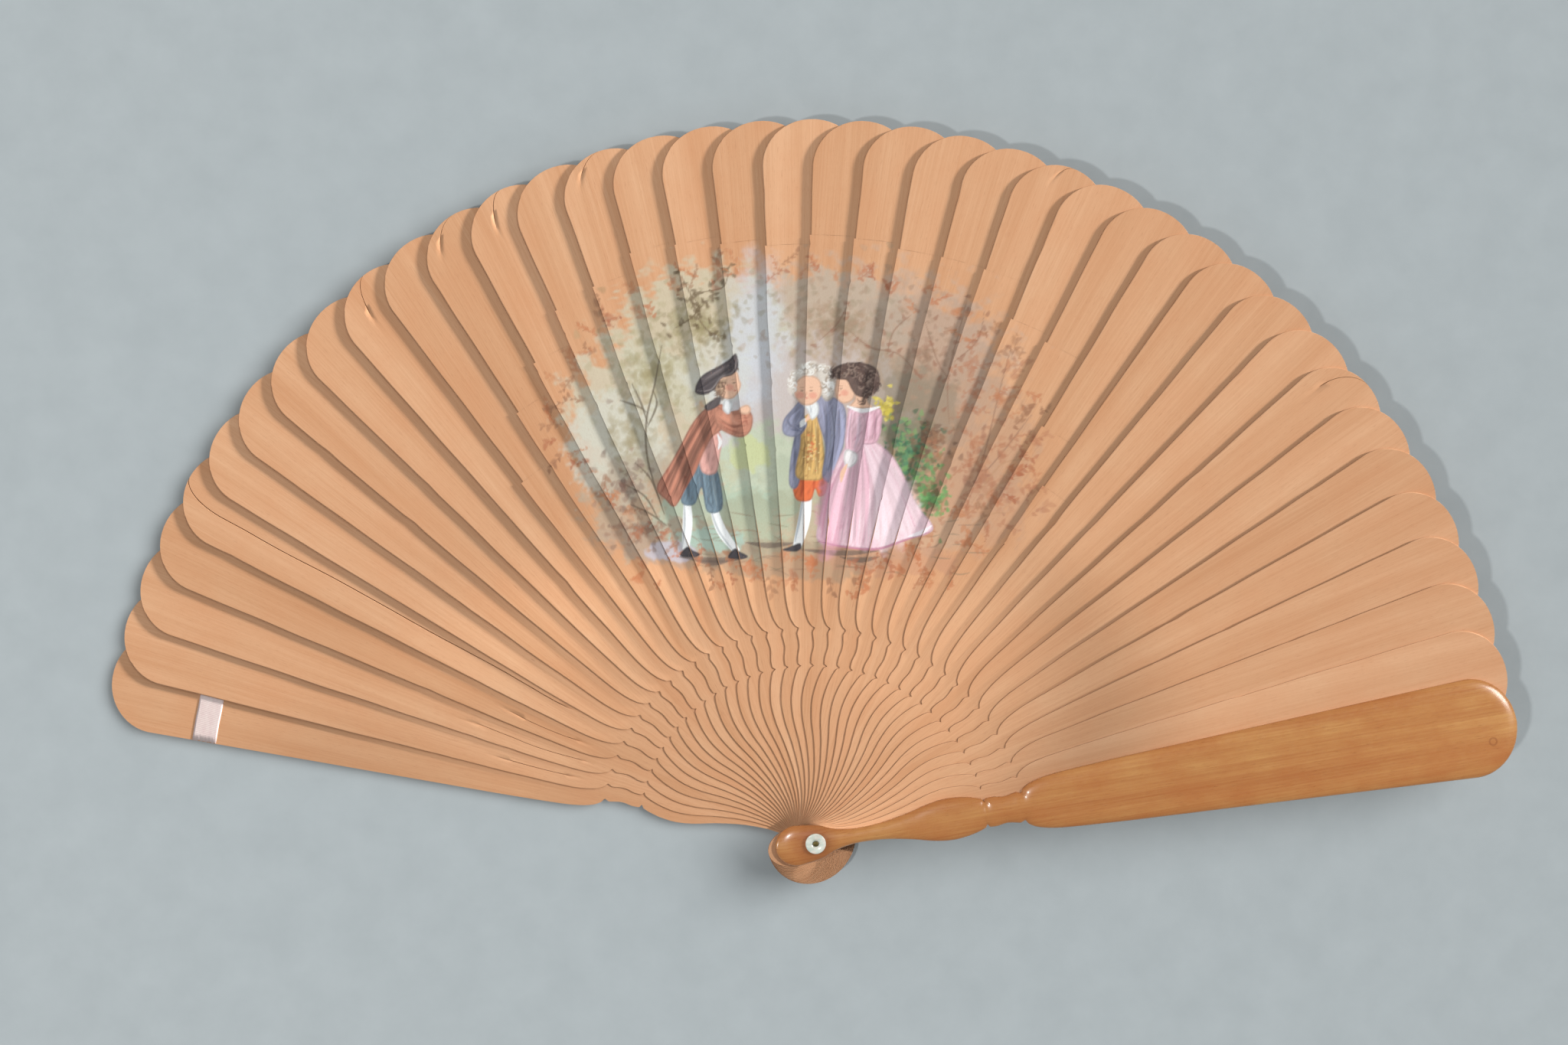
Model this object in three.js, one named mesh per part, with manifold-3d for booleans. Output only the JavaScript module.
// A wooden brisé hand fan, lying open: a front guard, 36 thin sticks and a rear guard turn on one rivet,
// and a narrow ribbon glued across their backs near the tips sets how far they open.
//
// Millimetres, +Z up. The rivet's axis is Z, and the origin is on it, at the rivet's rear end.
// The fan lies on its rear guard. +Y runs up the middle of the open fan, and the rear guard is on the -X side.
// Each leaf (a guard or a stick) is drawn along its own +X axis, from its toe behind the rivet to its tip,
// and is then turned to its place. Leaf 1 is the rear guard, and leaf 38 is the front guard.

import * as THREE from "three";
import Module from "manifold-3d";
import { mergeVertices } from "three/addons/utils/BufferGeometryUtils.js";

// ---- Driving dimensions ----

const STICKS = 36; // between the two guards
const OPEN_STEP = 4.25; // degrees from each leaf to the next, open
const TIP_RADIUS = 256; // rivet axis to a leaf's tip
const STICK_THICKNESS = 0.5;
const LEAF_GAP = 0.15; // between two leaves, where the ribbon lies
const GUARD_THICKNESS = 2.6; // at its crown
const GUARD_EDGE = 1.3; // at its edge, where the rounding starts
const CROWN_SHARE = 0.8; // the flat crown's width, as a share of the guard's

const HOLE_RADIUS = 1.05; // in every leaf
const PIN_RADIUS = 0.8;
const PIN_HEAD_RADIUS = 0.97;
const PIN_HEAD_DEPTH = 0.35;
const WASHER_RADIUS = 3.63;
const WASHER_THICKNESS = 1.1;
const WASHER_HOLE_RADIUS = 0.92;
const WASHER_SEAT_RADIUS = 1.15; // the countersink that takes the pin's head
const WASHER_GAP = 0.05;

const RIBBON_WIDTH = 8.5;
const RIBBON_THICKNESS = 0.1;
const RIBBON_RADIUS = 220; // rivet axis to the ribbon's middle
const RIBBON_CLEARANCE = 0.03; // under the stick that it is glued to
const RISER_CLEARANCE = 0.15; // from a stick's edge to the ribbon that passes it
const RIBBON_INSET = 0.6; // from the guards' outer edges to the ribbon's ends

// ---- Levels, from the rivet's rear end up ----

const LEAVES = STICKS + 2;
const LEAF_RISE = STICK_THICKNESS + LEAF_GAP;
const REAR_GUARD_CROWN_Z = WASHER_THICKNESS + WASHER_GAP;
const REAR_GUARD_INNER_Z = REAR_GUARD_CROWN_Z + GUARD_THICKNESS;
const FRONT_GUARD_INNER_Z = leafZ(LEAVES);
const FRONT_GUARD_CROWN_Z = FRONT_GUARD_INNER_Z + GUARD_THICKNESS;
const FRONT_WASHER_Z = FRONT_GUARD_CROWN_Z + WASHER_GAP;
const PIN_LENGTH = FRONT_WASHER_Z + WASHER_THICKNESS;

// The underside of leaf 2 and of each leaf above it.
function leafZ(leaf) {
  return REAR_GUARD_INNER_Z + LEAF_GAP + (leaf - 2) * LEAF_RISE;
}

// The direction of a leaf's axis. Leaf 1 is furthest round towards -X.
function leafAngle(leaf) {
  const middle = (LEAVES + 1) / 2;
  return THREE.MathUtils.degToRad(90 + (middle - leaf) * OPEN_STEP);
}

// ---- A leaf's outline ----
// Half widths along the leaf: an egg-shaped head round the rivet, a thin neck, a bulge, a nick, a waist,
// a second nick, a shoulder, and a blade that widens in a straight line to an elliptical tip.

const HEAD_CENTRE = -6.5;
const GUARD_HEAD_LENGTH = 7.6; // from the head's widest place to the toe
const STICK_HEAD_LENGTH = 10.5;
const HEAD_HALF_WIDTH = 7.2;
const NECK_AND_BULGE = [
  [HEAD_CENTRE, HEAD_HALF_WIDTH],
  [1.5, 6.0],
  [7, 3.9],
  [12, 2.9],
  [17, 2.6],
  [25, 3.1],
  [34, 4.7],
  [42, 6.7],
  [48.5, 7.5],
  [54, 7.1],
  [58.5, 6.1],
  [60.9, 5.2],
];
const WAIST_NICK = [61.7, 4.1];
const WAIST = [
  [62.4, 5.2],
  [65, 5.3],
  [69, 4.8],
  [73.5, 5.6],
];
const SHOULDER_NICK = [75.3, 4.9];
const SHOULDER = [
  [76.2, 6.4],
  [79, 8.0],
  [84, 9.3],
  [92, 10.2],
  [112, 11.5],
];
const BLADE_END = [239.5, 17.9];

// Segments in each stretch of one side.
const HEAD_STEPS = 5;
const NECK_STEPS = 13;
const WAIST_STEPS = 4;
const SHOULDER_STEPS = 5;
const TIP_STEPS = 7;

function along(points, steps) {
  const curve = new THREE.SplineCurve(points.map(([x, y]) => new THREE.Vector2(x, y)));
  return curve.getPoints(steps);
}

// One side, from the toe to the tip, both on the axis.
function halfOutline(headLength) {
  const toe = new THREE.EllipseCurve(HEAD_CENTRE, 0, headLength, HEAD_HALF_WIDTH, Math.PI, Math.PI / 2, true);
  const [bladeX, bladeHalfWidth] = BLADE_END;
  const tip = new THREE.EllipseCurve(bladeX, 0, TIP_RADIUS - bladeX, bladeHalfWidth, Math.PI / 2, 0, true);
  return [
    ...toe.getPoints(HEAD_STEPS).slice(0, -1),
    ...along(NECK_AND_BULGE, NECK_STEPS),
    new THREE.Vector2(...WAIST_NICK),
    ...along(WAIST, WAIST_STEPS),
    new THREE.Vector2(...SHOULDER_NICK),
    ...along(SHOULDER, SHOULDER_STEPS),
    ...tip.getPoints(TIP_STEPS),
  ];
}

// The whole outline, anticlockwise from the toe, with each end's point once.
function leafOutline(headLength) {
  const upper = halfOutline(headLength);
  const lower = upper.slice(1, -1).map((p) => new THREE.Vector2(p.x, -p.y));
  return [upper[0], ...lower, upper.at(-1), ...upper.slice(1, -1).reverse()];
}

// Half the width of the straight blade at a distance from the rivet.
function bladeHalfWidth(x) {
  const [fromX, fromWidth] = SHOULDER.at(-1);
  const [toX, toWidth] = BLADE_END;
  return THREE.MathUtils.mapLinear(x, fromX, toX, fromWidth, toWidth);
}

// ---- Joining and cutting ----

const wasm = await Module();
wasm.setup();

function toSolid(geometry) {
  const bare = new THREE.BufferGeometry().setAttribute("position", geometry.getAttribute("position"));
  if (geometry.index) bare.setIndex(geometry.index);
  const merged = mergeVertices(bare, 1e-4);
  const mesh = new wasm.Mesh({
    numProp: 3,
    vertProperties: merged.attributes.position.array,
    triVerts: new Uint32Array(merged.index.array),
  });
  return new wasm.Manifold(mesh);
}

function toGeometry(solid) {
  const mesh = solid.getMesh();
  return new THREE.BufferGeometry()
    .setAttribute("position", new THREE.BufferAttribute(mesh.vertProperties, 3))
    .setIndex(new THREE.BufferAttribute(mesh.triVerts, 1));
}

// ---- Leaves ----

const ROUND_HOLE_SEGMENTS = 10;

// A flat stick with its rivet hole, its underside at z = 0.
function stickGeometry() {
  const shape = new THREE.Shape(leafOutline(STICK_HEAD_LENGTH));
  const hole = new THREE.EllipseCurve(0, 0, HOLE_RADIUS, HOLE_RADIUS, 0, 2 * Math.PI, true);
  shape.holes.push(new THREE.Path(hole.getPoints(ROUND_HOLE_SEGMENTS).slice(0, -1)));
  return new THREE.ExtrudeGeometry(shape, { depth: STICK_THICKNESS, bevelEnabled: false });
}

// A closed solid through rings of points that lie one above the next.
function loft(rings) {
  const count = rings[0].length;
  const positions = rings.flat().flatMap((p) => [p.x, p.y, p.z]);
  const triangles = [];
  const cap = THREE.ShapeUtils.triangulateShape(rings[0], []);
  const top = (rings.length - 1) * count;
  for (const [a, b, c] of cap) triangles.push(a, c, b, top + a, top + b, top + c);
  for (let ring = 0; ring < rings.length - 1; ring++) {
    for (let i = 0; i < count; i++) {
      const a = ring * count + i;
      const b = ring * count + ((i + 1) % count);
      triangles.push(a, b, b + count, a, b + count, a + count);
    }
  }
  return new THREE.BufferGeometry()
    .setAttribute("position", new THREE.Float32BufferAttribute(positions, 3))
    .setIndex(triangles);
}

// A guard with its flat inner face at z = 0 and its crown up. The crown is drawn in from the edge all round.
function guardGeometry() {
  const middle = TIP_RADIUS / 2;
  const crownInset = (1 - CROWN_SHARE) * BLADE_END[1];
  const lengthShare = 1 - crownInset / middle / 2;
  const edge = leafOutline(GUARD_HEAD_LENGTH);
  const crown = edge.map((p) => new THREE.Vector2(middle + (p.x - middle) * lengthShare, p.y * CROWN_SHARE));
  const at = (points, z) => points.map((p) => new THREE.Vector3(p.x, p.y, z));
  const body = toSolid(loft([at(edge, 0), at(edge, GUARD_EDGE), at(crown, GUARD_THICKNESS)]));
  const drill = new THREE.CylinderGeometry(HOLE_RADIUS, HOLE_RADIUS, 4 * GUARD_THICKNESS, ROUND_HOLE_SEGMENTS);
  return toGeometry(body.subtract(toSolid(drill.rotateX(Math.PI / 2))));
}

// ---- Rivet ----

const ROUND_SEGMENTS = 24;

// A ring or disc turned about Z from [radius, height] pairs. Lathes turn about Y, so it is stood up.
function turned(profile, segments) {
  const points = profile.map(([radius, height]) => new THREE.Vector2(radius, height));
  return new THREE.LatheGeometry(points, segments).rotateX(Math.PI / 2);
}

// The pin, peened over at both ends.
function pinGeometry() {
  return turned(
    [
      [0, 0],
      [PIN_HEAD_RADIUS, 0],
      [PIN_HEAD_RADIUS, PIN_HEAD_DEPTH],
      [PIN_RADIUS, PIN_HEAD_DEPTH],
      [PIN_RADIUS, PIN_LENGTH - PIN_HEAD_DEPTH],
      [PIN_HEAD_RADIUS, PIN_LENGTH - PIN_HEAD_DEPTH],
      [PIN_HEAD_RADIUS, PIN_LENGTH],
      [0, PIN_LENGTH],
    ],
    ROUND_SEGMENTS,
  );
}

// A pearl washer, its inner face at z = 0 and its rounded, countersunk face up.
function washerGeometry() {
  const edge = 0.35;
  const seat = WASHER_THICKNESS - PIN_HEAD_DEPTH - WASHER_GAP;
  const profile = [
    [WASHER_HOLE_RADIUS, 0],
    [WASHER_RADIUS, 0],
    [WASHER_RADIUS, WASHER_THICKNESS - edge],
    [WASHER_RADIUS - edge, WASHER_THICKNESS],
    [WASHER_SEAT_RADIUS, WASHER_THICKNESS],
    [WASHER_SEAT_RADIUS, seat],
    [WASHER_HOLE_RADIUS, seat],
    [WASHER_HOLE_RADIUS, 0],
  ];
  return turned(profile, ROUND_SEGMENTS);
}

// ---- Ribbon ----
// One strip that lies on the rear guard's inner face, then under each leaf in turn. It rises past the edge
// of one leaf to the back of the next. Its outline is drawn as angle and height, and then bent round the rivet.

const RIBBON_ARC_STEP = OPEN_STEP; // the longest straight stretch, in degrees

function ribbonOutline() {
  const inner = RIBBON_RADIUS - RIBBON_WIDTH / 2;
  const toDegrees = (length) => THREE.MathUtils.radToDeg(length / RIBBON_RADIUS);
  const leafEdge = THREE.MathUtils.radToDeg(Math.asin(bladeHalfWidth(inner) / inner));
  const riser = toDegrees(RIBBON_THICKNESS);
  const start = -leafEdge + toDegrees(RIBBON_INSET);
  const end = (LEAVES - 1) * OPEN_STEP + leafEdge - toDegrees(RIBBON_INSET);
  const under = [];
  const over = [];
  let from = start;
  for (let leaf = 2; leaf <= LEAVES; leaf++) {
    const z = leafZ(leaf) - RIBBON_CLEARANCE - RIBBON_THICKNESS;
    const last = leaf === LEAVES;
    const to = last ? end : (leaf - 1) * OPEN_STEP + leafEdge + toDegrees(RISER_CLEARANCE);
    const stretches = Math.ceil((to - from) / RIBBON_ARC_STEP - 0.1);
    for (let i = 0; i <= stretches; i++) {
      const angle = THREE.MathUtils.lerp(from, to, i / stretches);
      under.push([angle + (leaf > 2 && i === 0 ? riser : 0) + (!last && i === stretches ? riser : 0), z]);
      over.push([angle, z + RIBBON_THICKNESS]);
    }
    from = to;
  }
  return [...under, ...over.reverse()];
}

function ribbonGeometry() {
  const outline = ribbonOutline();
  const firstAngle = THREE.MathUtils.radToDeg(leafAngle(1));
  const ringAt = (radius) =>
    outline.map(([angle, z]) => {
      const turn = THREE.MathUtils.degToRad(firstAngle - angle);
      return new THREE.Vector3(radius * Math.cos(turn), radius * Math.sin(turn), z);
    });
  const flat = outline.map(([angle, z]) => new THREE.Vector2(angle, z));
  const count = outline.length;
  const positions = [...ringAt(RIBBON_RADIUS - RIBBON_WIDTH / 2), ...ringAt(RIBBON_RADIUS + RIBBON_WIDTH / 2)];
  const triangles = [];
  for (const [a, b, c] of THREE.ShapeUtils.triangulateShape(flat, [])) {
    triangles.push(a, b, c, count + a, count + c, count + b);
  }
  for (let i = 0; i < count; i++) {
    const j = (i + 1) % count;
    triangles.push(i, count + j, j, i, count + i, count + j);
  }
  return new THREE.BufferGeometry().setFromPoints(positions).setIndex(triangles);
}

// ---- Materials ----

const stickWood = new THREE.MeshStandardMaterial({ color: 0xd7a27c, roughness: 0.75, metalness: 0 });
const guardWood = new THREE.MeshStandardMaterial({ color: 0xc58345, roughness: 0.3, metalness: 0 });
const pearl = new THREE.MeshStandardMaterial({ color: 0xe3e6da, roughness: 0.25, metalness: 0 });
const agedBrass = new THREE.MeshStandardMaterial({ color: 0x6b6236, roughness: 0.5, metalness: 0.9 });
const ribbonSilk = new THREE.MeshStandardMaterial({ color: 0xecd6d4, roughness: 0.8, metalness: 0 });

// ---- The fan ----

function piece(name, geometry, material, z) {
  const mesh = new THREE.Mesh(geometry, material);
  mesh.name = name;
  mesh.position.z = z;
  return mesh;
}

// Turns a piece that is drawn along +X to its leaf's direction.
function turnedTo(leaf, mesh) {
  const holder = new THREE.Group();
  holder.rotation.z = leafAngle(leaf);
  return holder.add(mesh);
}

const fan = new THREE.Group();

const rearGuard = piece("rear_guard", guardGeometry(), guardWood, REAR_GUARD_INNER_Z);
rearGuard.rotation.x = Math.PI; // crown down
fan.add(turnedTo(1, rearGuard));

for (let leaf = 2; leaf < LEAVES; leaf++) {
  const name = "stick_" + String(leaf).padStart(2, "0");
  fan.add(turnedTo(leaf, piece(name, stickGeometry(), stickWood, leafZ(leaf))));
}

fan.add(turnedTo(LEAVES, piece("front_guard", guardGeometry(), guardWood, FRONT_GUARD_INNER_Z)));

fan.add(piece("rivet_pin", pinGeometry(), agedBrass, 0));
fan.add(piece("front_washer", washerGeometry(), pearl, FRONT_WASHER_Z));
const rearWasher = piece("rear_washer", washerGeometry(), pearl, WASHER_THICKNESS);
rearWasher.rotation.x = Math.PI;
fan.add(rearWasher);

fan.add(piece("ribbon", ribbonGeometry(), ribbonSilk, 0));

export default fan;
